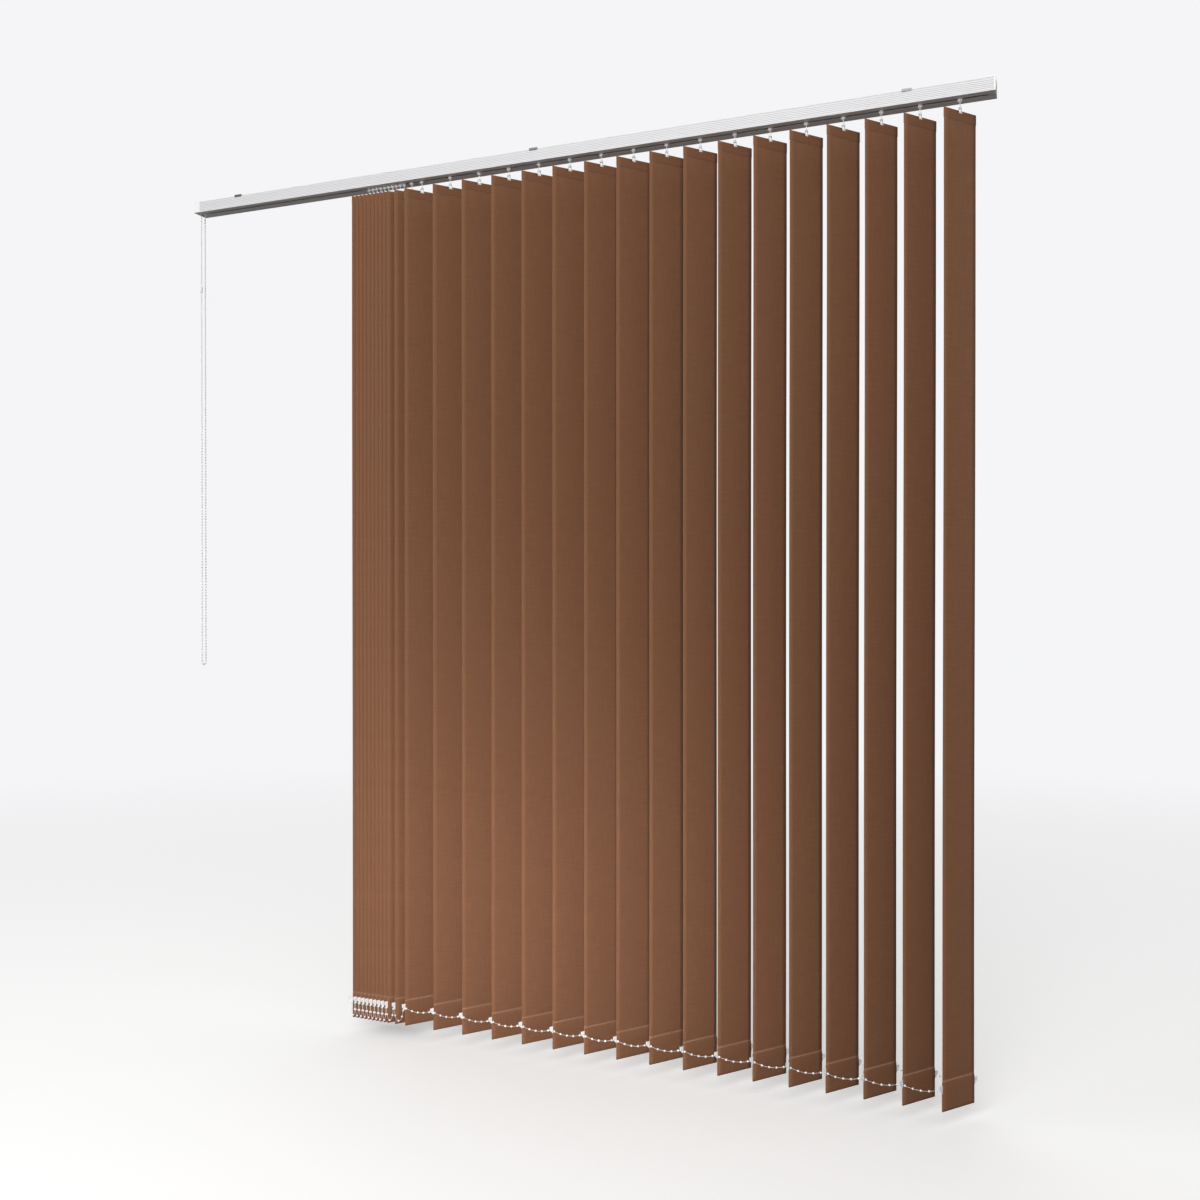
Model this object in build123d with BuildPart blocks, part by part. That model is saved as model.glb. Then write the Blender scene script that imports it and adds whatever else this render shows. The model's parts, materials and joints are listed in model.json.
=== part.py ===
"""Vertical blind: aluminium headrail, 28 fabric vanes on geared carriers, tilt rod and control chain.

Frame: millimetres, +Z up, X along the headrail, -Y towards the room. The origin is the centre of the
mounting plane, which is the top face of the three bracket clips. The blind is drawn partly open: the
twelve vanes nearest the control end are pushed together and the others hang at full pitch.
"""

import os
from math import cos, pi, radians, sin

from build123d import *

# Headrail
RAIL_LENGTH = 1980.0
RAIL_CENTRE = 15.0
RAIL_DEPTH = 46.0
RAIL_HEIGHT = 27.0
RAIL_WALL = 1.4
SLOT_WIDTH = 7.4
SLOT_Y = -3.0
GROOVE_COUNT = 5
GROOVE_PITCH = 3.6
GROOVE_WIDTH = 1.0
GROOVE_DEPTH = 0.4
CLIP_GROOVE_DEPTH = 0.8
CLIP_GROOVE_HEIGHT = 1.6
CLIP_GROOVE_DROP = 1.0

# Bracket clips
BRACKET_WIDTH = 19.0
BRACKET_THICK = 1.5
BRACKET_INSET = 156.0
SCREW_HOLE_RADIUS = 2.25
SCREW_HEAD_ROOM = 1.2

# Vanes
VANE_WIDTH = 89.0
VANE_LENGTH = 2000.0
FABRIC_THICK = 0.5
TOP_POCKET = 21.7
BOTTOM_POCKET = 61.7
VANE_DROP = 24.0
VANE_ANGLE = 38.0
FULL_PITCH = 77.5
STACK_PITCH = 11.0
LAST_VANE_INSET = 69.0
GAPS = [STACK_PITCH] * 9 + [21.0, 28.0] + [FULL_PITCH] * 16

# Hanger card in the top pocket, with the ring that hangs on the hook
CARD_THICK = 1.0
CARD_WIDTH = 80.0
CARD_END_GAP = 2.4
RING_WIDTH = 8.4
RING_ABOVE = 8.0
RING_OPENING_WIDTH = 4.8
RING_BAR = 2.0
RING_OPENING_HEIGHT = 7.5
RING_NOTCH_GAP = 0.3

# Hook: pinion, neck, hub and stem in one moulding
PINION_RADIUS = 4.2
PINION_HEIGHT = 6.0
PINION_RISE = 7.2
NECK_RADIUS = 3.0
HUB_GAP = 0.5
HUB_DROP = 2.0
STEM_RADIUS = 0.9
HOOK_WIDTH = 1.6
HOOK_THICK = 1.3
HOOK_SPAN = 5.2

# Bottom weight
WEIGHT_THICK = 1.4
WEIGHT_WIDTH = 84.0
WEIGHT_END_GAP = 10.55
TAB_REACH = 8.3
TAB_HEIGHT = 17.4
TAB_END_GAP = 9.2
TAB_TAPER = 7.0
TAB_HOLE_RADIUS = 1.2
TAB_HOLE_INSET = 4.2
TAB_HOLE_RISE = 10.5

# Carriers and their spacer strips
CARRIER_GAP = 0.6
CARRIER_FRONT_GAP = 3.6
CARRIER_BACK_GAP = 7.6
CARRIER_HEIGHT = 19.0
STRIP_THICK = 0.25
STRIP_WIDTH = 3.6
STRIP_LAYER = 0.6
STRIP_SHORT = 3.0
CHANNEL_WIDTH = 4.0
CHANNEL_WALL = 3.0
CHANNEL_FLOOR = 1.6

# Tilt rod and chain wheel
ROD_RADIUS = 3.0
FLUTE_RADIUS = 0.7
WHEEL_PITCH_RADIUS = 7.0
WHEEL_FLANGE_RADIUS = 8.0
WHEEL_FLANGE_THICK = 1.0
HOUSING_LENGTH = 18.0
HOUSING_PLUG = 15.0
CAP_THICK = 3.0
CAP_PLUG = 12.0

# Control chain
CHAIN_DIAMETER = 4.5
CHAIN_INSET = 6.0
CHAIN_DROP = 1177.0

# Clearances
SLIDE_CLEAR = 0.3
TURN_CLEAR = 0.3
POCKET_CLEAR = 0.15
HOOK_CLEAR = 0.2
CLIP_CLEAR = 0.15

RAIL_LEFT = RAIL_CENTRE - RAIL_LENGTH / 2
RAIL_RIGHT = RAIL_CENTRE + RAIL_LENGTH / 2
RAIL_TOP = -(BRACKET_THICK + SCREW_HEAD_ROOM)
RAIL_BOTTOM = RAIL_TOP - RAIL_HEIGHT
RAIL_MIDDLE = (RAIL_TOP + RAIL_BOTTOM) / 2
RAIL_FLOOR = RAIL_BOTTOM + RAIL_WALL
INNER_DEPTH = RAIL_DEPTH - 2 * RAIL_WALL
INNER_HEIGHT = RAIL_HEIGHT - 2 * RAIL_WALL
VANE_TOP = RAIL_BOTTOM - VANE_DROP
CARRIER_LENGTH = STACK_PITCH - CARRIER_GAP
CARRIER_FRONT = INNER_DEPTH / 2 + SLOT_Y - CARRIER_FRONT_GAP
CARRIER_BACK = INNER_DEPTH / 2 - SLOT_Y - CARRIER_BACK_GAP
CARRIER_FLOOR = RAIL_FLOOR + SLIDE_CLEAR
ROD_Y = SLOT_Y + PINION_RADIUS + ROD_RADIUS + 2 * TURN_CLEAR
ROD_Z = RAIL_BOTTOM + PINION_RISE + PINION_HEIGHT / 2
CHAIN_X = RAIL_LEFT + CHAIN_INSET
LAST_VANE_X = RAIL_RIGHT - LAST_VANE_INSET
vane_places = [LAST_VANE_X - sum(GAPS[index:]) for index in range(len(GAPS) + 1)]


def keep(piece, name):
    """Label one finished piece and write its STEP file."""
    piece.label = name
    export_step(piece, f"parts/{name}.step")


os.makedirs("parts", exist_ok=True)

# Headrail: a C section with fine grooves along its front face and a groove near the top of the front
# and back faces, which the bracket toes grip
rail_start = RAIL_LEFT + HOUSING_LENGTH
rail_end = RAIL_RIGHT - CAP_THICK
with BuildPart() as headrail:
    with BuildSketch(Plane.YZ.offset(rail_start)) as rail_section:
        with Locations((0, RAIL_MIDDLE)):
            RectangleRounded(RAIL_DEPTH, RAIL_HEIGHT, 1.0)
            Rectangle(INNER_DEPTH, INNER_HEIGHT, mode=Mode.SUBTRACT)
        with Locations((SLOT_Y, RAIL_BOTTOM + RAIL_WALL / 2)):
            Rectangle(SLOT_WIDTH, 2 * RAIL_WALL, mode=Mode.SUBTRACT)
        with Locations((-RAIL_DEPTH / 2, RAIL_MIDDLE)):
            with GridLocations(1, GROOVE_PITCH, 1, GROOVE_COUNT):
                Rectangle(2 * GROOVE_DEPTH, GROOVE_WIDTH, mode=Mode.SUBTRACT)
        clip_groove_z = RAIL_TOP - CLIP_GROOVE_DROP - CLIP_GROOVE_HEIGHT / 2
        with Locations((0, clip_groove_z)):
            with GridLocations(RAIL_DEPTH, 1, 2, 1):
                Rectangle(2 * CLIP_GROOVE_DEPTH, CLIP_GROOVE_HEIGHT, mode=Mode.SUBTRACT)
    extrude(amount=rail_end - rail_start)
keep(headrail.part, "headrail")

# Bracket clips: a plate with one screw hole, two legs outside the rail and two toes in its grooves
leg_y = RAIL_DEPTH / 2 + CLIP_CLEAR + BRACKET_THICK / 2
toe_height = CLIP_GROOVE_HEIGHT - 2 * CLIP_CLEAR
toe_reach = CLIP_GROOVE_DEPTH
leg_bottom = clip_groove_z - toe_height / 2
clip_width = 2 * leg_y + BRACKET_THICK
with BuildPart() as brackets:
    with BuildSketch(Plane.YZ) as clip_section:
        with Locations((0, -BRACKET_THICK / 2)):
            Rectangle(clip_width, BRACKET_THICK)
        with Locations((0, leg_bottom / 2)):
            with GridLocations(2 * leg_y, 1, 2, 1):
                Rectangle(BRACKET_THICK, -leg_bottom)
        with Locations((0, clip_groove_z)):
            with GridLocations(2 * leg_y - BRACKET_THICK - toe_reach, 1, 2, 1):
                Rectangle(toe_reach + 2 * CLIP_CLEAR, toe_height)
    extrude(amount=BRACKET_WIDTH / 2, both=True)
    Hole(SCREW_HOLE_RADIUS, depth=2 * BRACKET_THICK)
with BuildPart() as bracket_row:
    with GridLocations(RAIL_LENGTH / 2 - BRACKET_INSET, 1, 3, 1):
        add(brackets.part)
keep(bracket_row.part, "brackets")

# Tilt rod: a fluted rod with the chain wheel on its control end
rod_start = RAIL_LEFT + SLIDE_CLEAR + 1.5
rod_end = rail_end - CAP_PLUG / 3
wheel_width = CHAIN_DIAMETER + 2 * TURN_CLEAR
with BuildPart() as tilt_rod:
    with BuildSketch(Plane.YZ.offset(CHAIN_X)) as rod_section:
        with Locations((ROD_Y, ROD_Z)):
            Circle(ROD_RADIUS)
            with PolarLocations(ROD_RADIUS + FLUTE_RADIUS / 2, 3):
                Circle(FLUTE_RADIUS, mode=Mode.SUBTRACT)
    extrude(amount=rod_end - CHAIN_X)
    with BuildSketch(Plane.YZ.offset(rod_start)) as stub_section:
        with Locations((ROD_Y, ROD_Z)):
            Circle(ROD_RADIUS)
    extrude(amount=CHAIN_X - rod_start)
    with BuildSketch(Plane.YZ.offset(CHAIN_X)) as drum_section:
        with Locations((ROD_Y, ROD_Z)):
            Circle(WHEEL_PITCH_RADIUS - CHAIN_DIAMETER / 2 - TURN_CLEAR)
    extrude(amount=wheel_width / 2, both=True)
    for side in (-wheel_width / 2 - WHEEL_FLANGE_THICK, wheel_width / 2):
        with BuildSketch(Plane.YZ.offset(CHAIN_X + side)) as flange_section:
            with Locations((ROD_Y, ROD_Z)):
                Circle(WHEEL_FLANGE_RADIUS)
        extrude(amount=WHEEL_FLANGE_THICK)
keep(tilt_rod.part, "tilt_rod")

# Control chain: one loop of two straight strands from the wheel's sides, drawn as a plain tube
strand_bottom = RAIL_BOTTOM - CHAIN_DROP
strand_run = strand_bottom + WHEEL_PITCH_RADIUS
with BuildPart() as control_chain:
    with BuildSketch(Plane.XY.offset(strand_run)) as strand_sections:
        with Locations((CHAIN_X, ROD_Y)):
            with GridLocations(1, 2 * WHEEL_PITCH_RADIUS, 1, 2):
                Circle(CHAIN_DIAMETER / 2)
    extrude(amount=ROD_Z - strand_run)
    with BuildSketch(Plane.XY.offset(strand_run)) as turn_section:
        with Locations((CHAIN_X, ROD_Y - WHEEL_PITCH_RADIUS)):
            Circle(CHAIN_DIAMETER / 2)
    revolve(axis=Axis((CHAIN_X, ROD_Y, strand_run), (1, 0, 0)), revolution_arc=180)
keep(control_chain.part, "control_chain")
chain_length = 2 * (ROD_Z - strand_run) + pi * WHEEL_PITCH_RADIUS
chain_volume = turn_section.sketch.area * chain_length
print(f"control chain: length {chain_length:.1f} mm, bottom turn radius {WHEEL_PITCH_RADIUS:.1f} mm")
print(f"control chain: volume {control_chain.part.volume:.1f} against {chain_volume:.1f} mm3")

# Control housing: closes the rail at the control end and holds the chain wheel
housing_start = RAIL_LEFT
chamber_radius = WHEEL_PITCH_RADIUS + CHAIN_DIAMETER / 2 + 2 * TURN_CLEAR
chamber_width = wheel_width + 2 * WHEEL_FLANGE_THICK + 2 * TURN_CLEAR
plug_depth = INNER_DEPTH - 2 * SLIDE_CLEAR
plug_height = INNER_HEIGHT - 2 * SLIDE_CLEAR
with BuildPart() as control_housing:
    with BuildSketch(Plane.YZ.offset(housing_start)) as housing_section:
        with Locations((0, RAIL_MIDDLE)):
            RectangleRounded(RAIL_DEPTH, RAIL_HEIGHT, 1.0)
    extrude(amount=HOUSING_LENGTH)
    with BuildSketch(Plane.YZ.offset(housing_start + HOUSING_LENGTH)) as housing_plug:
        with Locations((0, RAIL_MIDDLE)):
            Rectangle(plug_depth, plug_height)
    extrude(amount=HOUSING_PLUG)
    with BuildSketch(Plane.YZ.offset(CHAIN_X)) as wheel_chamber:
        with Locations((ROD_Y, ROD_Z)):
            Circle(chamber_radius)
        with Locations((ROD_Y, RAIL_BOTTOM)):
            Rectangle(2 * chamber_radius, 2 * (ROD_Z - RAIL_BOTTOM))
    extrude(amount=chamber_width / 2, both=True, mode=Mode.SUBTRACT)
    with BuildSketch(Plane.YZ.offset(rod_start - SLIDE_CLEAR)) as rod_bore:
        with Locations((ROD_Y, ROD_Z)):
            Circle(ROD_RADIUS + TURN_CLEAR)
    extrude(amount=HOUSING_LENGTH + HOUSING_PLUG, mode=Mode.SUBTRACT)

# End cap: a flange over the far end of the rail, and a plug beside the strip channel with the rod's
# bearing in it
plug_front = SLOT_Y + SLIDE_CLEAR
plug_back = INNER_DEPTH / 2 - SLIDE_CLEAR
with BuildPart() as end_cap:
    with BuildSketch(Plane.YZ.offset(rail_end)) as cap_section:
        with Locations((0, RAIL_MIDDLE)):
            RectangleRounded(RAIL_DEPTH, RAIL_HEIGHT, 1.0)
    extrude(amount=CAP_THICK)
    with BuildSketch(Plane.YZ.offset(rail_end - CAP_PLUG)) as cap_plug:
        with Locations(((plug_front + plug_back) / 2, RAIL_MIDDLE)):
            Rectangle(plug_back - plug_front, plug_height)
    extrude(amount=CAP_PLUG)
    with BuildSketch(Plane.YZ.offset(rail_end - CAP_PLUG)) as cap_bore:
        with Locations((ROD_Y, ROD_Z)):
            Circle(ROD_RADIUS + TURN_CLEAR)
    extrude(amount=CAP_PLUG, mode=Mode.SUBTRACT)

# Carrier: runs on the rail floor; the rod passes through it, the hook's pinion turns in its chamber,
# and the spacer strips of the carriers nearer the control end slide through its channel
strip_reach = FULL_PITCH - STRIP_SHORT
strip_layers = int(strip_reach / STACK_PITCH) + 1
channel_height = strip_layers * STRIP_LAYER + STRIP_LAYER
channel_bottom = CARRIER_FLOOR + CHANNEL_FLOOR
channel_y = SLOT_Y - CARRIER_FRONT + CHANNEL_WALL + CHANNEL_WIDTH / 2
pinion_bottom = RAIL_BOTTOM + PINION_RISE
with BuildPart() as carrier:
    with BuildSketch(Plane.XY.offset(CARRIER_FLOOR)) as carrier_base:
        with Locations((0, SLOT_Y + (CARRIER_BACK - CARRIER_FRONT) / 2)):
            Rectangle(CARRIER_LENGTH, CARRIER_FRONT + CARRIER_BACK)
    extrude(amount=CARRIER_HEIGHT)
    with BuildSketch(Plane.XY.offset(pinion_bottom - TURN_CLEAR)) as pinion_chamber:
        with Locations((0, SLOT_Y)):
            Circle(PINION_RADIUS + TURN_CLEAR)
    extrude(amount=CARRIER_HEIGHT, mode=Mode.SUBTRACT)
    with BuildSketch(Plane.XY.offset(CARRIER_FLOOR)) as neck_hole:
        with Locations((0, SLOT_Y)):
            Circle(NECK_RADIUS + TURN_CLEAR)
    extrude(amount=CARRIER_HEIGHT, mode=Mode.SUBTRACT)
    with BuildSketch(Plane.YZ) as carrier_ways:
        with Locations((ROD_Y, ROD_Z)):
            Circle(ROD_RADIUS + TURN_CLEAR)
        with Locations((channel_y, channel_bottom + channel_height / 2)):
            Rectangle(CHANNEL_WIDTH, channel_height)
    extrude(amount=CARRIER_LENGTH, both=True, mode=Mode.SUBTRACT)


def spacer_strip(layer):
    """Spacer strip from the middle of its own carrier to just inside the next one, in its own layer."""
    strip_z = channel_bottom + (layer + 1) * STRIP_LAYER
    with BuildPart() as strip:
        with BuildSketch(Plane.XY.offset(strip_z - STRIP_THICK / 2)) as strip_outline:
            with Locations((strip_reach / 2, channel_y)):
                Rectangle(strip_reach, STRIP_WIDTH)
        extrude(amount=STRIP_THICK)
    return strip.part


for index, place in enumerate(vane_places[:-1]):
    with BuildPart() as sliding_carrier:
        with Locations((place, 0, 0)):
            add(carrier.part)
            add(spacer_strip(index % strip_layers))
    keep(sliding_carrier.part, f"carrier_{index + 1:02d}")

# The control housing, the far end cap and the last vane's carrier are all fixed in the rail
with BuildPart() as end_fittings:
    add(control_housing.part)
    add(end_cap.part)
    with Locations((vane_places[-1], 0, 0)):
        add(carrier.part)
keep(end_fittings.part, "end_fittings")

# Vane fabric, in its own frame: top edge at z 0, width along Y, with a pocket folded at each end
top_cavity = CARD_THICK + 2 * POCKET_CLEAR
bottom_cavity = WEIGHT_THICK + 2 * POCKET_CLEAR
cavity_bottom = -VANE_LENGTH + FABRIC_THICK
with BuildPart() as fabric:
    with BuildSketch(Plane.XZ) as fabric_section:
        with Locations((0, -VANE_LENGTH / 2)):
            Rectangle(FABRIC_THICK, VANE_LENGTH)
        with Locations((0, -TOP_POCKET / 2)):
            Rectangle(top_cavity + 2 * FABRIC_THICK, TOP_POCKET)
            Rectangle(top_cavity, TOP_POCKET - 2 * FABRIC_THICK, mode=Mode.SUBTRACT)
        with Locations((0, -VANE_LENGTH + BOTTOM_POCKET / 2)):
            Rectangle(bottom_cavity + 2 * FABRIC_THICK, BOTTOM_POCKET)
            Rectangle(bottom_cavity, BOTTOM_POCKET - 2 * FABRIC_THICK, mode=Mode.SUBTRACT)
    extrude(amount=VANE_WIDTH / 2, both=True)
    with BuildSketch(Plane.YZ) as ring_notch:
        Rectangle(RING_WIDTH + 2 * RING_NOTCH_GAP, RING_ABOVE)
    extrude(amount=top_cavity + 2 * FABRIC_THICK, both=True, mode=Mode.SUBTRACT)

# Hanger card with its ring
card_top = -FABRIC_THICK - 2 * POCKET_CLEAR
card_height = card_top + TOP_POCKET - FABRIC_THICK - CARD_END_GAP
opening_top = RING_ABOVE - RING_BAR
with BuildPart() as hanger:
    with BuildSketch(Plane.YZ) as card_outline:
        with Locations((0, card_top - card_height / 2)):
            RectangleRounded(CARD_WIDTH, card_height, 3.0)
        with Locations((0, RING_ABOVE - (RING_ABOVE - card_top + 2.0) / 2)):
            RectangleRounded(RING_WIDTH, RING_ABOVE - card_top + 2.0, 0.9)
        with Locations((0, opening_top - RING_OPENING_HEIGHT / 2)):
            Rectangle(RING_OPENING_WIDTH, RING_OPENING_HEIGHT, mode=Mode.SUBTRACT)
    extrude(amount=CARD_THICK / 2, both=True)

# Hook: pinion in the carrier, neck through the slot, hub under the rail, stem, and a hook whose foot
# carries the ring's top bar
hub_centre = VANE_DROP - HUB_DROP
hub_top = VANE_DROP - SLIDE_CLEAR
hub_radius = STACK_PITCH / 2 - HUB_GAP
foot_top = opening_top - HOOK_CLEAR
bridge_bottom = RING_ABOVE + HOOK_CLEAR
pinion_base = VANE_DROP + PINION_RISE
with BuildPart() as hook:
    with BuildSketch(Plane.XY.offset(pinion_base)) as pinion_outline:
        Circle(PINION_RADIUS)
    extrude(amount=PINION_HEIGHT)
    with BuildSketch(Plane.XY.offset(hub_centre)) as neck_outline:
        Circle(NECK_RADIUS)
    extrude(amount=pinion_base - hub_centre)
    with Locations((0, 0, hub_centre)):
        Sphere(hub_radius)
    with BuildSketch(Plane.XY.offset(hub_top)) as hub_cut:
        Circle(2 * hub_radius)
        Circle(NECK_RADIUS, mode=Mode.SUBTRACT)
    extrude(amount=PINION_RISE - TURN_CLEAR, mode=Mode.SUBTRACT)
    with BuildSketch(Plane.XY.offset(bridge_bottom)) as stem_outline:
        Circle(STEM_RADIUS)
    extrude(amount=hub_centre - bridge_bottom)
    with BuildSketch(Plane.XZ) as hook_section:
        with Locations((0, foot_top - HOOK_THICK / 2)):
            Rectangle(HOOK_SPAN, HOOK_THICK)
        with Locations(((HOOK_SPAN - HOOK_THICK) / 2, (foot_top + bridge_bottom + HOOK_THICK) / 2)):
            Rectangle(HOOK_THICK, bridge_bottom + HOOK_THICK - foot_top + HOOK_THICK)
        with Locations((-(HOOK_SPAN - HOOK_THICK) / 2, foot_top)):
            Rectangle(HOOK_THICK, 2 * HOOK_THICK)
        with Locations(((HOOK_SPAN / 2 - STEM_RADIUS) / 2, bridge_bottom + HOOK_THICK / 2)):
            Rectangle(HOOK_SPAN / 2 + STEM_RADIUS, HOOK_THICK)
    extrude(amount=HOOK_WIDTH / 2, both=True)

# Bottom weight: a plate in the bottom pocket, with a pierced tab past each edge for the link chains
weight_bottom = -VANE_LENGTH + FABRIC_THICK + POCKET_CLEAR
weight_height = BOTTOM_POCKET - 2 * FABRIC_THICK - POCKET_CLEAR - WEIGHT_END_GAP
tab_base = BOTTOM_POCKET - FABRIC_THICK - TAB_END_GAP - TAB_HEIGHT
tab_length = VANE_WIDTH / 2 + TAB_REACH
with BuildPart() as weight:
    with BuildSketch(Plane.YZ) as weight_outline:
        with Locations((0, weight_bottom + weight_height / 2)):
            RectangleRounded(WEIGHT_WIDTH, weight_height, 3.0)
        with Locations((0, -VANE_LENGTH + tab_base + TAB_HEIGHT / 2)):
            Rectangle(2 * tab_length, TAB_HEIGHT)
        with Locations((0, -VANE_LENGTH + tab_base)):
            with GridLocations(2 * tab_length, 1, 2, 1):
                Rectangle(2 * TAB_TAPER, 2 * TAB_TAPER, rotation=45, mode=Mode.SUBTRACT)
        with Locations((0, -VANE_LENGTH + tab_base + TAB_HOLE_RISE)):
            with GridLocations(2 * (tab_length - TAB_HOLE_INSET), 1, 2, 1):
                Circle(TAB_HOLE_RADIUS, mode=Mode.SUBTRACT)
    extrude(amount=WEIGHT_THICK / 2, both=True)

turn = radians(VANE_ANGLE)
vane_pieces = [fabric.part, hanger.part, hook.part, weight.part]
for index, place in enumerate(vane_places):
    vane_plane = Plane(origin=(place, SLOT_Y, VANE_TOP), x_dir=(cos(turn), -sin(turn), 0), z_dir=(0, 0, 1))
    placed_pieces = [piece.moved(vane_plane.location) for piece in vane_pieces]
    with BuildPart() as vane:
        add(placed_pieces)
    keep(vane.part, f"vane_{index + 1:02d}")
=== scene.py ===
"""Looks of the vertical blind: woven vanes, moulded hardware, bead chains, studio and camera."""
import json
import logging
from dataclasses import dataclass, field
from enum import Enum
from math import radians

import bmesh
import bpy
import numpy as np
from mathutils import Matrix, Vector


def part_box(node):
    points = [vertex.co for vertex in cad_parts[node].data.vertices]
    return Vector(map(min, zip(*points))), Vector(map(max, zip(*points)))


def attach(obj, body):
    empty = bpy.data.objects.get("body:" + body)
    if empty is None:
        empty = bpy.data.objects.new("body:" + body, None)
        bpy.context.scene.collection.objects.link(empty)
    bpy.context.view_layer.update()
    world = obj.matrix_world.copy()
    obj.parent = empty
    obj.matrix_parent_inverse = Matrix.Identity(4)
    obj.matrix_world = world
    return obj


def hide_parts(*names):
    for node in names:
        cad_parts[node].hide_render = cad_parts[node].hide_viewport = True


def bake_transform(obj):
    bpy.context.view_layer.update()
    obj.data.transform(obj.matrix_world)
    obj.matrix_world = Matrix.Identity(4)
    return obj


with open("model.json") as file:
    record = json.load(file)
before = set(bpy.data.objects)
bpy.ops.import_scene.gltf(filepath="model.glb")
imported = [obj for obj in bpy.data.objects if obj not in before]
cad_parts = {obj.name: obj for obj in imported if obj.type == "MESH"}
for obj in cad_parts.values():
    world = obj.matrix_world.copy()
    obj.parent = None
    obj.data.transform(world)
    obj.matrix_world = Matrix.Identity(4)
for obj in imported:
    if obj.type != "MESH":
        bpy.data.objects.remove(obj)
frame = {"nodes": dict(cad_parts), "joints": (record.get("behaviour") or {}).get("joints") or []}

MM = 0.001
VANE_COUNT = 28
TIGHTEST, SLACKEST, HALVINGS, SINH_LIMIT = 0.02, 50, 80, 300
THREAD_SIDES = 6
EASED_WIDTH = 0.18 * MM
EASED_DEGREES = 40
COLOUR_A, COLOUR_B, COLOUR_OUT = 6, 7, 2
LOG = logging.getLogger("vertical_blind")


class Side(Enum):
    """Which long edge of a vane a part belongs to."""

    FRONT = -1.0
    BACK = 1.0


def linear(hex_colour: str) -> tuple[float, float, float, float]:
    """Turn an sRGB hex colour into linear RGBA.

    Each channel c becomes c / 12.92 below 0.04045, and ((c + 0.055) / 1.055) ^ 2.4 above it.

    Args:
        hex_colour: Six hex digits after a hash.

    Returns:
        The linear colour with alpha 1.
    """
    channels = np.array([int(hex_colour[i:i + 2], 16) for i in (1, 3, 5)]) / 255
    curve = np.where(channels <= 0.04045, channels / 12.92, ((channels + 0.055) / 1.055) ** 2.4)
    return (float(curve[0]), float(curve[1]), float(curve[2]), 1.0)


def add_node(tree: bpy.types.NodeTree, kind: str, settings: dict | None = None,
             links: dict | None = None) -> bpy.types.Node:
    """Add a node with its settings and links.

    Args:
        tree: The node tree.
        kind: The node's type name.
        settings: Attribute names, or input names written as "in:Name", to values.
        links: Input name or index to the output socket that feeds it.

    Returns:
        The new node.
    """
    node = tree.nodes.new(kind)
    for name, value in (settings or {}).items():
        if name.startswith("in:"):
            node.inputs[name[3:]].default_value = value
        else:
            setattr(node, name, value)
    for name, socket in (links or {}).items():
        tree.links.new(socket, node.inputs[name])
    return node


def add_sum(tree: bpy.types.NodeTree, operation: str,
            *values: bpy.types.NodeSocket | float) -> bpy.types.NodeSocket:
    """Add a math node, such as a product or a comparison, over sockets and numbers.

    Args:
        tree: The node tree.
        operation: The math node's operation.
        values: What feeds its inputs, in order.

    Returns:
        The result's socket.
    """
    node = add_node(tree, "ShaderNodeMath", {"operation": operation})
    for index, value in enumerate(values):
        if isinstance(value, bpy.types.NodeSocket):
            tree.links.new(value, node.inputs[index])
        else:
            node.inputs[index].default_value = value
    return node.outputs[0]


def mix_colours(tree: bpy.types.NodeTree, factor: bpy.types.NodeSocket, first: bpy.types.NodeSocket | str,
                second: bpy.types.NodeSocket | str) -> bpy.types.NodeSocket:
    """Mix two colours, each a socket or an sRGB hex colour: first * (1 - factor) + second * factor.

    Args:
        tree: The node tree.
        factor: The share of the second colour.
        first: Colour where the factor is 0.
        second: Colour where the factor is 1.

    Returns:
        The mixed colour's socket.
    """
    node = add_node(tree, "ShaderNodeMix", {"data_type": "RGBA"}, {"Factor": factor})
    for index, value in ((COLOUR_A, first), (COLOUR_B, second)):
        if isinstance(value, str):
            node.inputs[index].default_value = linear(value)
        else:
            tree.links.new(value, node.inputs[index])
    return node.outputs[COLOUR_OUT]


def new_material(name: str) -> tuple[bpy.types.Material, bpy.types.NodeTree]:
    """Make an empty node material.

    Args:
        name: The material's name.

    Returns:
        The material and its node tree.
    """
    material = bpy.data.materials.new(name)
    material.use_nodes = True
    material.node_tree.nodes.clear()
    return material, material.node_tree


def close_material(tree: bpy.types.NodeTree, shader: bpy.types.Node) -> None:
    """Join a shader to the material's output.

    Args:
        tree: The material's node tree.
        shader: The node whose first output is the surface.
    """
    add_node(tree, "ShaderNodeOutputMaterial", links={"Surface": shader.outputs[0]})


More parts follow.
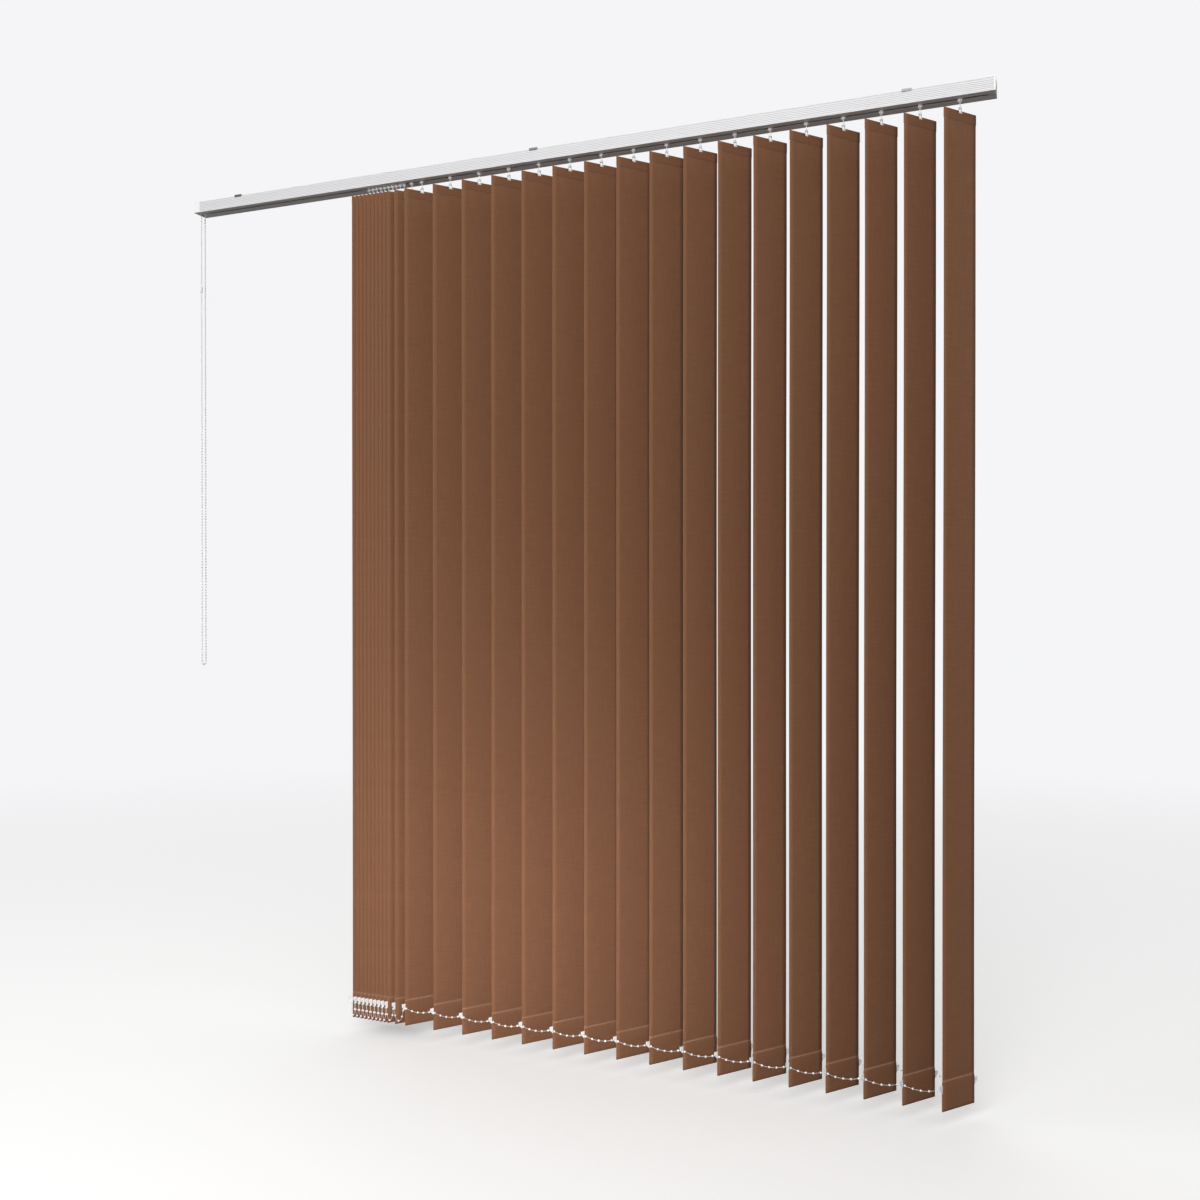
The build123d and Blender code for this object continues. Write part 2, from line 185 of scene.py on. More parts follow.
@dataclass(frozen=True)
class WovenPolyester:
    """Fine plain weave with uneven yarn: matt, with faint streaks both ways, pale where it is welded.

    The yarn is 0.5 mm apart on a real vane. It is drawn 2.4 mm apart so that it shows.
    """

    colour: str = "#885c3e"
    streak: str = "#805437"
    weld: str = "#b09582"
    yarn_mm: float = 2.4
    slub_mm: float = 45.0
    weave_range: tuple = (0.8, 1.25)
    weld_width_mm: float = 1.3
    weld_strength: float = 0.45
    welds_mm: tuple = (0.8, 45.2, 1961.8, 2086.0)

    def make(self) -> bpy.types.Material:
        """Build the material on the cloth's own UV map, where u and v are metres across and along."""
        material, tree = new_material("woven_polyester")
        uv = add_node(tree, "ShaderNodeUVMap", {"uv_map": "cloth"}).outputs[0]
        yarn_scale, slub_scale = 1 / (self.yarn_mm * MM), 1 / (self.slub_mm * MM)
        threads = []
        for scale in ((slub_scale, yarn_scale, 1), (yarn_scale, slub_scale, 1)):
            place = add_node(tree, "ShaderNodeMapping", {"in:Scale": scale}, {"Vector": uv})
            thread = add_node(tree, "ShaderNodeTexNoise", {"in:Scale": 1.0, "in:Detail": 3.0},
                              {"Vector": place.outputs[0]})
            threads.append(thread.outputs[0])
        both = add_sum(tree, "ADD", *threads)
        low, high = self.weave_range
        spread = add_node(tree, "ShaderNodeMapRange", {"in:From Min": low, "in:From Max": high},
                          {"Value": both})
        yarn = mix_colours(tree, spread.outputs[0], self.streak, self.colour)
        along = add_node(tree, "ShaderNodeSeparateXYZ", links={0: uv}).outputs[1]
        half_weld = self.weld_width_mm * MM / 2
        welds = [add_sum(tree, "COMPARE", along, at * MM, half_weld) for at in self.welds_mm]
        weld = welds[0]
        for near in welds[1:]:
            weld = add_sum(tree, "MAXIMUM", weld, near)
        cloth = mix_colours(tree, add_sum(tree, "MULTIPLY", weld, self.weld_strength), yarn, self.weld)
        bump = add_node(tree, "ShaderNodeBump", {"in:Strength": 0.15, "in:Distance": 0.2 * MM},
                        {"Height": add_sum(tree, "SUBTRACT", both, weld)})
        shader = add_node(tree, "ShaderNodeBsdfPrincipled",
                          {"in:Roughness": 0.88, "in:Sheen Weight": 0.05, "in:Sheen Roughness": 0.5},
                          {"Base Color": cloth, "Normal": bump.outputs[0]})
        close_material(tree, shader)
        return material


@dataclass(frozen=True)
class SpeckledFinish:
    """A plain finish with a fine uneven surface, given by its noise size, depth and tone."""

    name: str
    colour: str
    shade: str
    roughness: float
    grain_mm: float
    depth_mm: float
    metallic: float = 0.0
    gloss_change: float = 0.06

    def make(self) -> bpy.types.Material:
        """Build the material on Object coordinates, with grain_mm as the size of one patch."""
        material, tree = new_material(self.name)
        where = add_node(tree, "ShaderNodeTexCoord")
        grain = add_node(tree, "ShaderNodeTexNoise", {"in:Scale": 1 / (self.grain_mm * MM), "in:Detail": 2.0},
                         {"Vector": where.outputs["Object"]})
        tone = mix_colours(tree, grain.outputs[0], self.shade, self.colour)
        gloss = add_node(tree, "ShaderNodeMapRange", {"in:To Min": self.roughness - self.gloss_change,
                                                      "in:To Max": self.roughness + self.gloss_change},
                         {"Value": grain.outputs[0]})
        bump = add_node(tree, "ShaderNodeBump", {"in:Strength": 0.4, "in:Distance": self.depth_mm * MM},
                        {"Height": grain.outputs[0]})
        shader = add_node(tree, "ShaderNodeBsdfPrincipled", {"in:Metallic": self.metallic},
                          {"Base Color": tone, "Roughness": gloss.outputs[0], "Normal": bump.outputs[0]})
        close_material(tree, shader)
        return material


@dataclass(frozen=True)
class GroovedCoat:
    """White powder coat on the rail, with painted shade: grey lines stand for the shade in the fine grooves
    of the front face.
    """

    colour: str = "#ececee"
    shade: str = "#e5e5e7"
    # Colour of the painted shade in the grooves of the front face.
    painted_groove_shade: str = "#c2c2c5"
    pitch_mm: float = 3.6
    middle_mm: float = -16.2
    half_width_mm: float = 0.55
    edge_share: float = 0.25
    face_y_mm: float = -22.0
    grain_per_m: float = 800.0

    def make(self) -> bpy.types.Material:
        """Build the material on Object coordinates; a grey line of painted groove shade lies at each whole (z
        - middle) / pitch.
        """
        material, tree = new_material("powder_coated_aluminium")
        where = add_node(tree, "ShaderNodeTexCoord").outputs["Object"]
        grain = add_node(tree, "ShaderNodeTexNoise", {"in:Scale": self.grain_per_m, "in:Detail": 2.0},
                         {"Vector": where}).outputs[0]
        tone = mix_colours(tree, grain, self.shade, self.colour)
        place = add_node(tree, "ShaderNodeSeparateXYZ", links={0: where})
        per_metre = 1 / (self.pitch_mm * MM)
        step = add_sum(tree, "MULTIPLY_ADD", place.outputs[2], per_metre, -self.middle_mm / self.pitch_mm)
        fold = add_sum(tree, "PINGPONG", step, 0.5)
        reach = self.half_width_mm / self.pitch_mm
        line = add_node(tree, "ShaderNodeMapRange", {"in:From Min": reach * (1 + self.edge_share),
                                                     "in:From Max": reach * (1 - self.edge_share)},
                        {"Value": fold}).outputs[0]
        front = add_sum(tree, "LESS_THAN", place.outputs[1], self.face_y_mm * MM)
        # Painted shade: the groove colour darkens each groove line on the front face, standing for the shade
        # that falls in the grooves.
        coat = mix_colours(tree, add_sum(tree, "MULTIPLY", line, front), tone, self.painted_groove_shade)
        bump = add_node(tree, "ShaderNodeBump", {"in:Strength": 0.4, "in:Distance": 0.02 * MM},
                        {"Height": grain})
        shader = add_node(tree, "ShaderNodeBsdfPrincipled", {"in:Roughness": 0.42},
                          {"Base Color": coat, "Normal": bump.outputs[0]})
        close_material(tree, shader)
        return material


@dataclass(frozen=True)
class PaleFloor:
    """A white painted floor that fades into the background far away and throws little light upwards.

    The camera sees colour, with a little light of its own (lift). Other rays see the darker thrown.
    """

    colour: str = "#fcfcfc"
    thrown: str = "#6e6b68"
    far_colour: str = "#f5f5f7"
    lift: float = 0.13
    patches_per_m: float = 14.0
    fade_from: float = 3.2
    fade_to: float = 7.5

    def make(self) -> bpy.types.Material:
        """Build the material: paint near the blind, the background's own colour beyond fade_to metres."""
        material, tree = new_material("painted_floor")
        seen = add_node(tree, "ShaderNodeLightPath").outputs["Is Camera Ray"]
        where = add_node(tree, "ShaderNodeTexCoord").outputs["Object"]
        grain = add_node(tree, "ShaderNodeTexNoise", {"in:Scale": self.patches_per_m, "in:Detail": 2.0},
                         {"Vector": where})
        bump = add_node(tree, "ShaderNodeBump", {"in:Strength": 0.1, "in:Distance": 0.2 * MM},
                        {"Height": grain.outputs[0]})
        paint = add_node(tree, "ShaderNodeBsdfPrincipled",
                         {"in:Roughness": 0.8, "in:Specular IOR Level": 0.2,
                          "in:Emission Color": linear("#ffffff")},
                         {"Base Color": mix_colours(tree, seen, self.thrown, self.colour),
                          "Normal": bump.outputs[0],
                          "Emission Strength": add_sum(tree, "MULTIPLY", seen, self.lift)})
        far = add_node(tree, "ShaderNodeEmission", {"in:Color": linear(self.far_colour)})
        distance = add_node(tree, "ShaderNodeCameraData").outputs["View Distance"]
        fade = add_node(tree, "ShaderNodeMapRange",
                        {"in:From Min": self.fade_from, "in:From Max": self.fade_to}, {"Value": distance})
        share = add_sum(tree, "MULTIPLY", fade.outputs[0], seen)
        close_material(tree, add_node(tree, "ShaderNodeMixShader",
                                      links={0: share, 1: paint.outputs[0], 2: far.outputs[0]}))
        return material


FINISHES = {
    "cut_edge": SpeckledFinish("cut_polyester_edge", "#b49078", "#98745d", 0.9, 1.5, 0.1),
    "acetal": SpeckledFinish("moulded_acetal", "#fcfcfb", "#f3f3f1", 0.34, 2.5, 0.03),
    "clear": SpeckledFinish("natural_polycarbonate", "#fafbfb", "#eceff0", 0.2, 4.0, 0.02),
    "steel": SpeckledFinish("spring_steel", "#7e7e7c", "#626260", 0.38, 0.8, 0.01, 1.0),
    "mill": SpeckledFinish("extruded_aluminium", "#b9babc", "#a4a5a8", 0.35, 1.0, 0.01, 1.0),
}


def finish_mesh(name: str, vertices: np.ndarray, faces: list, material: bpy.types.Material,
                sharp_degrees: float = 35.0) -> bpy.types.Object:
    """Make an object from vertices and faces, with doubles merged and faces turned outwards.

    Args:
        name: The piece's name.
        vertices: Points in metres, one row each.
        faces: Index tuples.
        material: The piece's material.
        sharp_degrees: Edges sharper than this stay sharp.

    Returns:
        The linked object, at the origin.
    """
    mesh = bpy.data.meshes.new(name)
    mesh.from_pydata([tuple(point) for point in vertices], [], faces)
    work = bmesh.new()
    work.from_mesh(mesh)
    bmesh.ops.remove_doubles(work, verts=work.verts, dist=1e-7)
    bmesh.ops.recalc_face_normals(work, faces=work.faces)
    work.to_mesh(mesh)
    work.free()
    mesh.polygons.foreach_set("use_smooth", np.ones(len(mesh.polygons), bool))
    mesh.set_sharp_from_angle(angle=radians(sharp_degrees))
    mesh.materials.append(material)
    piece = bpy.data.objects.new(name, mesh)
    bpy.context.scene.collection.objects.link(piece)
    return piece


def grid_faces(rows: int, columns: int, start: int = 0) -> list:
    """List the four-sided faces of a grid of points stored row by row.

    Args:
        rows: Number of rows.
        columns: Number of columns; the last joins the first.
        start: Index of the grid's first point.

    Returns:
        Faces as index tuples.
    """
    row, column = np.meshgrid(np.arange(rows - 1), np.arange(columns), indexing="ij")
    below = row + 1
    beside = (column + 1) % columns
    corners = [row * columns + column, row * columns + beside,
               below * columns + beside, below * columns + column]
    return [tuple(face) for face in (np.stack(corners, -1).reshape(-1, 4) + start).tolist()]


def tube(path: np.ndarray, across: np.ndarray, radius: float, sides: int = 8) -> tuple[np.ndarray, list]:
    """Carry a circle along a flat path: point + radius (cos a * across + sin a * (tangent x across)).

    Args:
        path: Centre points, one row each.
        across: Unit vector square to the path's plane.
        radius: The tube's radius in metres.
        sides: Points round the circle.

    Returns:
        Vertices and faces, with both ends closed.
    """
    along = np.gradient(path, axis=0)
    along /= np.linalg.norm(along, axis=1, keepdims=True)
    other = np.cross(along, across)
    turn = np.linspace(0, 2 * np.pi, sides, endpoint=False)
    ring = np.cos(turn)[None, :, None] * across + np.sin(turn)[None, :, None] * other[:, None, :]
    points = (path[:, None, :] + radius * ring).reshape(-1, 3)
    faces = grid_faces(len(path), sides)
    faces.append(tuple(range(sides)))
    faces.append(tuple(range((len(path) - 1) * sides, len(path) * sides)))
    return points, faces


def beads(centres: np.ndarray, radius: float, rings: int = 6, sides: int = 8) -> tuple[np.ndarray, list]:
    """Put a small ball at each centre: radius (sin p cos a, sin p sin a, cos p) round it.

    Args:
        centres: Ball centres, one row each.
        radius: Ball radius in metres.
        rings: Steps from pole to pole.
        sides: Steps round.

    Returns:
        Vertices and faces of all the balls.
    """
    pole = np.linspace(0, np.pi, rings + 1)[:, None]
    turn = np.linspace(0, 2 * np.pi, sides, endpoint=False)[None, :]
    ball = np.stack([np.sin(pole) * np.cos(turn), np.sin(pole) * np.sin(turn), np.cos(pole) + 0 * turn], -1)
    ball = ball.reshape(-1, 3) * radius
    points = (centres[:, None, :] + ball[None]).reshape(-1, 3)
    faces = [face for k in range(len(centres)) for face in grid_faces(rings + 1, sides, k * len(ball))]
    return points, faces


def join_parts(parts: list) -> tuple[np.ndarray, list]:
    """Join several (vertices, faces) pairs into one.

    Args:
        parts: The pairs.

    Returns:
        All the vertices, and the faces with their indices moved on.
    """
    points, faces, count = [], [], 0
    for part_points, part_faces in parts:
        points.append(part_points)
        faces += [tuple(index + count for index in face) for face in part_faces]
        count += len(part_points)
    return np.concatenate(points), faces


@dataclass
class Vane:
    """One vane: its cloth, and the hook, hanger card and weight that hang with it."""

    number: int
    width: float = 89.0 * MM
    length: float = 2000.0 * MM
    thickness: float = 0.5 * MM
    top_pocket: float = 21.7 * MM
    bottom_pocket: float = 61.7 * MM
    top_half: float = 0.9 * MM
    bottom_half: float = 1.1 * MM
    notch: float = 4.5 * MM
    tab_reach: float = 4.1 * MM
    tab_rise: float = 45.1 * MM
    angle: float = 38.0
    pocket_rows: int = 15
    drop_rows: int = 46
    open_share: float = 0.15
    bow: float = 0.5 * MM
    bow_length: float = 0.9
    bow_step: float = 0.1
    bow_fade: tuple = (0.2, 0.25)
    notch_depth: float = 5.0 * MM
    hook_rise: float = 20.0 * MM
    column_shares: tuple = (0.25, 0.5, 0.75, 1.0)
    top: float = 0.0
    axis: np.ndarray = field(default_factory=lambda: np.zeros(3))

    def __post_init__(self) -> None:
        """Take the vane's axis from its tilt joint, and its directions from its angle."""
        joint = next(j for j in frame["joints"] if j["name"] == f"tilt_{self.number:02d}")
        self.top = float(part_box(self.name)[0].z) + self.length
        self.axis = np.array([joint["pos_m"][0], joint["pos_m"][1], self.top])
        turn = radians(self.angle)
        self.across = np.array([np.sin(turn), np.cos(turn), 0.0])
        self.facing = np.array([np.cos(turn), -np.sin(turn), 0.0])

    @property
    def name(self) -> str:
        """The vane's body and node name."""
        return f"vane_{self.number:02d}"

    def cloth_path(self) -> tuple[np.ndarray, np.ndarray]:
        """Work out the cloth's line seen from its edge, as offset from the middle plane and height.

        The line starts at the edge of the top flap, goes up and over the top fold, down the vane,
        round the bottom fold and up to the edge of the bottom flap. A pocket opens as a quarter of a
        sine over its first open_share.

        Returns:
            The offsets and the heights below the top edge, in metres.
        """
        up = np.linspace(0, 1, self.pocket_rows)
        bulge = np.sin(np.pi / 2 * np.clip(up / self.open_share, 0, 1))
        top_back = np.stack([self.top_half * bulge, -self.top_pocket * (1 - up)], -1)
        top_front = np.stack([-self.top_half * bulge[::-1], -self.top_pocket * up], -1)
        drop = np.linspace(self.top_pocket, self.length - self.bottom_pocket, self.drop_rows)[1:-1]
        middle = np.stack([0 * drop, -drop], -1)
        low_front = np.stack([-self.bottom_half * bulge, -self.length + self.bottom_pocket * (1 - up)], -1)
        low_back = np.stack([self.bottom_half * bulge[::-1], -self.length + self.bottom_pocket * up], -1)
        line = np.concatenate([top_back, top_front, middle, low_front, low_back])
        return line[:, 0], line[:, 1]

    def make_cloth(self, cloth: bpy.types.Material, edge: bpy.types.Material) -> bpy.types.Object:
        """Build the woven strip as a grid, with a notch for the ring in the top fold.

        Args:
            cloth: Material of the two faces.
            edge: Material of the cut edges.

        Returns:
            The cloth, given its thickness by Solidify.
        """
        offset, height = self.cloth_path()
        step = np.hypot(np.diff(offset), np.diff(height))
        run = np.concatenate([[0], np.cumsum(step)])
        half = self.width / 2
        beside = half * np.array(self.column_shares)
        place = np.concatenate([-beside[::-1], [-self.notch, 0.0, self.notch], beside])
        bow = self.bow * np.sin(np.pi * (height + self.bow_step * self.number) / self.bow_length)
        top_fade, bottom_fade = self.bow_fade
        bow *= np.clip(-height / top_fade, 0, 1) * np.clip((self.length + height) / bottom_fade, 0, 1)
        curl = (place / half) ** 2
        shift = offset[:, None] + bow[:, None] * curl[None, :]
        points = (self.axis + place[None, :, None] * self.across + shift[..., None] * self.facing
                  + height[:, None, None] * np.array([0, 0, 1.0]))
        rows, columns = points.shape[:2]
        row, column = np.meshgrid(np.arange(rows - 1), np.arange(columns - 1), indexing="ij")
        corners = np.stack([row * columns + column, row * columns + column + 1,
                            (row + 1) * columns + column + 1, (row + 1) * columns + column], -1)
        in_notch = ((np.abs(place[:-1] + np.diff(place) / 2) < self.notch)[None, :]
                    & ((height[:-1] + height[1:]) / 2 > -self.notch_depth)[:, None])
        faces = corners[~in_notch].reshape(-1, 4)
        mesh = bpy.data.meshes.new(f"{self.name}_cloth")
        mesh.from_pydata(points.reshape(-1, 3).tolist(), [], faces.tolist())
        grid_uv = np.stack(np.meshgrid(place + half, run, indexing="xy"), -1).reshape(-1, 2)
        loops = np.zeros(len(mesh.loops), np.int64)
        mesh.loops.foreach_get("vertex_index", loops)
        mesh.uv_layers.new(name="cloth").data.foreach_set("uv", grid_uv[loops].astype(np.float32).ravel())
        mesh.polygons.foreach_set("use_smooth", np.ones(len(mesh.polygons), bool))
        mesh.materials.append(cloth)
        mesh.materials.append(edge)
        piece = bpy.data.objects.new(f"{self.name}_cloth", mesh)
        bpy.context.scene.collection.objects.link(piece)
        solid = piece.modifiers.new("thickness", "SOLIDIFY")
        solid.thickness = self.thickness
        solid.offset = 0.0
        solid.material_offset_rim = 1
        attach(piece, self.name)
        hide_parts(self.name)
        return piece

    def make_hardware(self, clear: bpy.types.Material, white: bpy.types.Material) -> list:
        """Build the hook, the hanger card and the weight from the merged solids of the vane's node.

        The node's solids are told apart by height: the cloth spans most of the vane, the weight is at
        the bottom, the hook reaches highest and the card is what is left.

        Args:
            clear: Material of the hook and card.
            white: Material of the weight.

        Returns:
            The three pieces.
        """
        work = bmesh.new()
        work.from_mesh(frame["nodes"][self.name].data)
        bmesh.ops.remove_doubles(work, verts=work.verts, dist=1e-6)
        work.faces.ensure_lookup_table()
        seen, made = set(), []
        for first in work.verts:
            if first in seen:
                continue
            island, front = [], [first]
            seen.add(first)
            while front:
                vertex = front.pop()
                island.append(vertex)
                for edge in vertex.link_edges:
                    other = edge.other_vert(vertex)
                    if other not in seen:
                        seen.add(other)
                        front.append(other)
            heights = [vertex.co.z for vertex in island]
            low, high = min(heights), max(heights)
            if high - low > 0.5 * self.length:
                continue
            if high < self.top - 0.5 * self.length:
                word, material = "weight", white
            elif high > self.top + self.hook_rise:
                word, material = "hook", clear
            else:
                word, material = "hanger", clear
            index = {vertex: k for k, vertex in enumerate(island)}
            chosen = {face for vertex in island for face in vertex.link_faces}
            ordered = sorted(chosen, key=lambda face: face.index)
            faces = [tuple(index[vertex] for vertex in face.verts) for face in ordered]
            points = np.array([vertex.co[:] for vertex in island])
            piece = finish_mesh(f"{self.name}_{word}", points, faces, material, 30.0)
            bevel = piece.modifiers.new("eased", "BEVEL")
            bevel.width = EASED_WIDTH
            bevel.segments = 2
            bevel.limit_method = "ANGLE"
            bevel.angle_limit = radians(EASED_DEGREES)
            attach(piece, self.name)
            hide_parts(self.name)
            made.append(piece)
        work.free()
        return made

    def tab_hole(self, side: Side) -> np.ndarray:
        """Give the middle of the weight's tab hole on one side."""
        reach = self.width / 2 + self.tab_reach
        return self.axis + side.value * reach * self.across + np.array([0, 0, self.tab_rise - self.length])


@dataclass
class LinkChain:
    """The short bead chains that join neighbouring weights along one edge of the vanes."""

    side: Side
    length: float = 79.6 * MM
    bead_radius: float = 2.4 * MM
    thread_radius: float = 0.3 * MM
    bead_count: int = 5
    points: int = 61
    declared_over: float = 60.0 * MM

    def hang(self, start: np.ndarray, end: np.ndarray) -> np.ndarray:
        """Find the line of a chain hung from two points at one height: z = a cosh(x / a) + c.

        Args:
            start: One end.
            end: The other end.

        Returns:
            Points along the chain, evenly spaced by length.
        """
        span = float(np.linalg.norm(end - start))
        low, high = span * TIGHTEST, span * SLACKEST
        for _ in range(HALVINGS):
            a = (low + high) / 2
            if 2 * a * np.sinh(min(span / (2 * a), SINH_LIMIT)) > self.length:
                low = a
            else:
                high = a
        distance = np.linspace(-self.length / 2, self.length / 2, self.points)
        x = a * np.arcsinh(distance / a)
        drop = a * (np.cosh(x / a) - np.cosh(span / (2 * a)))
        share = (x + span / 2) / span
        return start + share[:, None] * (end - start) + drop[:, None] * np.array([0, 0, 1.0])

    def make(self, vanes: list, material: bpy.types.Material) -> list:
        """Build one span from each vane to the next, hung as a catenary between their weights' tab holes.

        Args:
            vanes: The vanes in order.
            material: The chain's material.

        Returns:
            The spans.
        """
        made = []
        for left, right in zip(vanes[:-1], vanes[1:]):
            start, end = left.tab_hole(self.side), right.tab_hole(self.side)
            line = self.hang(start, end)
            across = np.cross((end - start) / np.linalg.norm(end - start), np.array([0, 0, 1.0]))
            step = len(line) / self.bead_count
            centres = line[[int(step * (k + 0.5)) for k in range(self.bead_count)]]
            points, faces = join_parts([tube(line, across, self.thread_radius, THREAD_SIDES),
                                        beads(centres, self.bead_radius)])
            piece = finish_mesh(f"link_{self.side.name.lower()}_{left.number:02d}", points, faces, material)
            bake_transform(piece)
            made.append(piece)
        return made


@dataclass
class ControlChain:
    """The long bead loop that turns the tilt rod: two strands and a turn at the bottom."""

    diameter: float = 4.5 * MM
    bead_pitch: float = 7.4 * MM
    half_gap: float = 7.0 * MM
    middle_y: float = 4.8 * MM
    thread_radius: float = 0.8 * MM
    half_way: float = -0.600
    straight_above: float = 0.030
    turn_above: float = 0.002
    thread_points: int = 900
    clip_radius: float = 3.1 * MM
    clip_reach: tuple = (-0.212, -0.198)

    def route(self) -> list:
        """List the route's points: down the front, round the bottom and up the back."""
        low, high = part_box("control_chain")
        x, top, bottom = (low.x + high.x) / 2, high.z, low.z + self.diameter / 2
        heights = [top, self.half_way, bottom + self.straight_above, bottom + self.turn_above]
        front = [(x, self.middle_y - self.half_gap, z) for z in heights]
        back = [(x, self.middle_y + self.half_gap, z) for z in reversed(heights)]
        return [*front, (x, self.middle_y, bottom), *back]

    def smooth_line(self) -> np.ndarray:
        """Read evenly spaced points from a NURBS spline through the route's points."""
        curve = bpy.data.curves.new("chain_route", "CURVE")
        curve.dimensions = "3D"
        curve.resolution_u = 60
        spline = curve.splines.new("NURBS")
        route = self.route()
        spline.points.add(len(route) - 1)
        for point, place in zip(spline.points, route):
            point.co = (*place, 1.0)
        spline.order_u = 3
        spline.use_endpoint_u = True
        holder = bpy.data.objects.new("chain_route", curve)
        bpy.context.scene.collection.objects.link(holder)
        bpy.context.view_layer.update()
        mesh = bpy.data.meshes.new_from_object(holder)
        line = np.array([vertex.co[:] for vertex in mesh.vertices])
        bpy.data.objects.remove(holder)
        bpy.data.meshes.remove(mesh)
        return line

    def make(self, material: bpy.types.Material) -> list:
        """Build the beads on their thread, and the joining clip on the front strand.

        Args:
            material: The chain's material.

        Returns:
            The chain and its clip.
        """
        line = self.smooth_line()
        run = np.concatenate([[0], np.cumsum(np.linalg.norm(np.diff(line, axis=0), axis=1))])
        count = int(run[-1] / self.bead_pitch)
        at = (np.arange(count) + 0.5) * run[-1] / count
        centres = np.stack([np.interp(at, run, line[:, k]) for k in range(3)], -1)
        fine = np.linspace(0, run[-1], self.thread_points)
        thread = np.stack([np.interp(fine, run, line[:, k]) for k in range(3)], -1)
        along_rail = np.array([1.0, 0, 0])
        points, faces = join_parts([tube(thread, along_rail, self.thread_radius, THREAD_SIDES),
                                    beads(centres, self.diameter / 2)])
        chain = finish_mesh("control_chain_beads", points, faces, material)
        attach(chain, "rail")
        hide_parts("control_chain")
        clip_path = np.array([line[0] + np.array([0, 0, z]) for z in np.linspace(*self.clip_reach, 6)])
        clip_points, clip_faces = tube(clip_path, along_rail, self.clip_radius, 16)
        clip = finish_mesh("chain_joiner", clip_points, clip_faces, material)
        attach(clip, "rail")
        return [chain, clip]


@dataclass(frozen=True)
class Lamp:
    """One square area light: where it is, what it aims at, its side, power and colour."""

    name: str
    place: tuple
    aim: tuple
    size: float
    power: float
    colour: str
    spread: float = 140.0


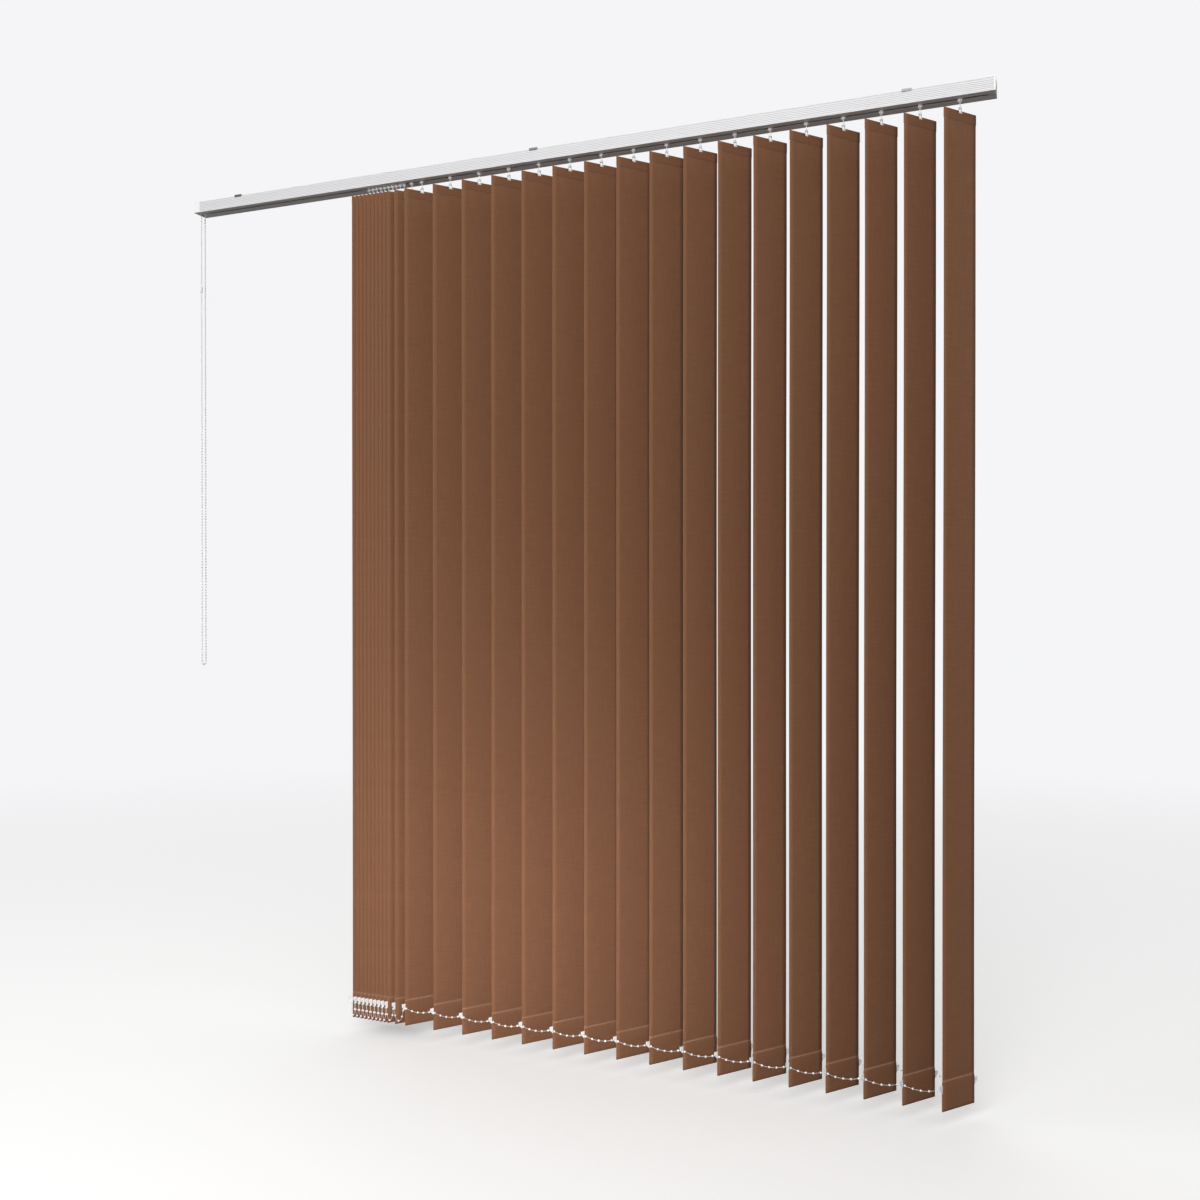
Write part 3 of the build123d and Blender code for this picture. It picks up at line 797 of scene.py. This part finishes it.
@dataclass
class Studio:
    """Pale floor, soft lights and the camera."""

    floor_height: float = -2.085
    floor_reach: float = 14.0
    lens: float = 35.1
    place: tuple = (1.153, -2.451, -1.0197)
    yaw: float = 22.13
    pitch: float = -0.32
    sky_left: float = 0.86
    sky_right: float = 0.45
    sky_colour: str = "#f6f6f5"

    def make_camera(self) -> None:
        """Stand the camera in the room, right of the middle, looking level and to the left."""
        camera = bpy.data.cameras.new("camera")
        camera.lens = self.lens
        camera.sensor_width = 36.0
        camera.clip_end = 100.0
        holder = bpy.data.objects.new("camera", camera)
        holder.location = self.place
        holder.rotation_euler = (radians(90 + self.pitch), 0, radians(self.yaw))
        bpy.context.scene.collection.objects.link(holder)
        bpy.context.scene.camera = holder

    def make_floor(self, material: bpy.types.Material) -> bpy.types.Object:
        """Lay one large pale floor just under the vanes.

        Args:
            material: The floor's paint.

        Returns:
            The floor.
        """
        reach, height = self.floor_reach, self.floor_height
        corners = np.array([[x * reach, y * reach, height] for x, y in ((-1, -1), (1, -1), (1, 1), (-1, 1))])
        floor = finish_mesh("floor", corners, [(0, 1, 2, 3)], material)
        return floor

    def make_sky(self) -> None:
        """Show a plain pale background, and light the blind from a sky that is dimmer to the right."""
        world = bpy.data.worlds.new("soft_sky")
        world.use_nodes = True
        tree = world.node_tree
        tree.nodes.clear()
        path = add_node(tree, "ShaderNodeLightPath")
        shown = add_node(tree, "ShaderNodeBackground", {"in:Color": linear("#f5f5f7")})
        where = add_node(tree, "ShaderNodeTexCoord")
        parts = add_node(tree, "ShaderNodeSeparateXYZ", links={0: where.outputs["Generated"]})
        power = add_node(tree, "ShaderNodeMapRange",
                         {"in:From Min": -1.0, "in:From Max": 1.0,
                          "in:To Min": self.sky_left, "in:To Max": self.sky_right},
                         {"Value": parts.outputs[0]})
        light = add_node(tree, "ShaderNodeBackground", {"in:Color": linear(self.sky_colour)},
                         {"Strength": power.outputs[0]})
        both = add_node(tree, "ShaderNodeMixShader",
                        links={0: path.outputs["Is Camera Ray"], 1: light.outputs[0], 2: shown.outputs[0]})
        add_node(tree, "ShaderNodeOutputWorld", links={"Surface": both.outputs[0]})
        bpy.context.scene.world = world
        bpy.context.scene.view_settings.view_transform = "Standard"

    def make_lights(self, floor: bpy.types.Object) -> None:
        """Add a large soft light in front, one from the left, and a warm glow off the floor.

        Args:
            floor: The floor, which the glow leaves dark because it stands for light from it.
        """
        lamps = (Lamp("front_light", (0.2, -4.5, 0.8), (0.1, 0.0, -0.9), 3.5, 95.0, "#ffffff"),
                 Lamp("left_light", (-3.6, -1.2, -0.6), (0.0, 0.0, -0.9), 2.5, 3.0, "#ffffff"),
                 Lamp("floor_glow", (0.3, -1.25, -1.98), (-0.1, 0.0, -1.85), 0.6, 3.6, "#f4f6ff", 85.0))
        for lamp in lamps:
            light = bpy.data.lights.new(lamp.name, "AREA")
            light.size = lamp.size
            light.energy = lamp.power
            light.color = linear(lamp.colour)[:3]
            light.spread = radians(lamp.spread)
            holder = bpy.data.objects.new(lamp.name, light)
            holder.location = lamp.place
            look = Vector(lamp.aim) - Vector(lamp.place)
            holder.rotation_euler = look.to_track_quat("-Z", "Y").to_euler()
            bpy.context.scene.collection.objects.link(holder)
            if lamp.name == "floor_glow":
                unlit = bpy.data.collections.new("not_lit_by_glow")
                unlit.objects.link(floor)
                holder.light_linking.receiver_collection = unlit
                unlit.collection_objects[0].light_linking.link_state = "EXCLUDE"


def dress_fixed_nodes(materials: dict) -> None:
    """Give the rail, its fittings, the rod and the carriers their real finishes.

    Args:
        materials: Finish name to material.
    """
    dress = {"headrail": "coat", "end_fittings": "acetal", "brackets": "steel", "tilt_rod": "mill"}
    dress |= {name: "acetal" for name in frame["nodes"] if name.startswith("carrier_")}
    for name, finish in dress.items():
        mesh = frame["nodes"][name].data
        mesh.materials.clear()
        mesh.materials.append(materials[finish])


def main() -> None:
    """Build every sub-assembly in order and report it."""
    logging.basicConfig(level=logging.INFO, format="%(message)s")
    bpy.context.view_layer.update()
    materials = {key: finish.make() for key, finish in FINISHES.items()}
    materials["cloth"] = WovenPolyester().make()
    materials["floor"] = PaleFloor().make()
    materials["coat"] = GroovedCoat().make()
    studio = Studio()
    studio.make_camera()
    control = ControlChain().make(materials["acetal"])
    LOG.info("control chain: %s", ", ".join(piece.name for piece in control))
    vanes = [Vane(number) for number in range(1, VANE_COUNT + 1)]
    for vane in vanes:
        cloth = vane.make_cloth(materials["cloth"], materials["cut_edge"])
        hardware = vane.make_hardware(materials["clear"], materials["acetal"])
    LOG.info("vanes: %d", len(vanes))
    for side in Side:
        spans = LinkChain(side).make(vanes, materials["acetal"])
        LOG.info("%s link chains: %d", side.name.lower(), len(spans))
    dress_fixed_nodes(materials)
    floor = studio.make_floor(materials["floor"])
    studio.make_sky()
    studio.make_lights(floor)


if __name__ == "__main__":
    main()
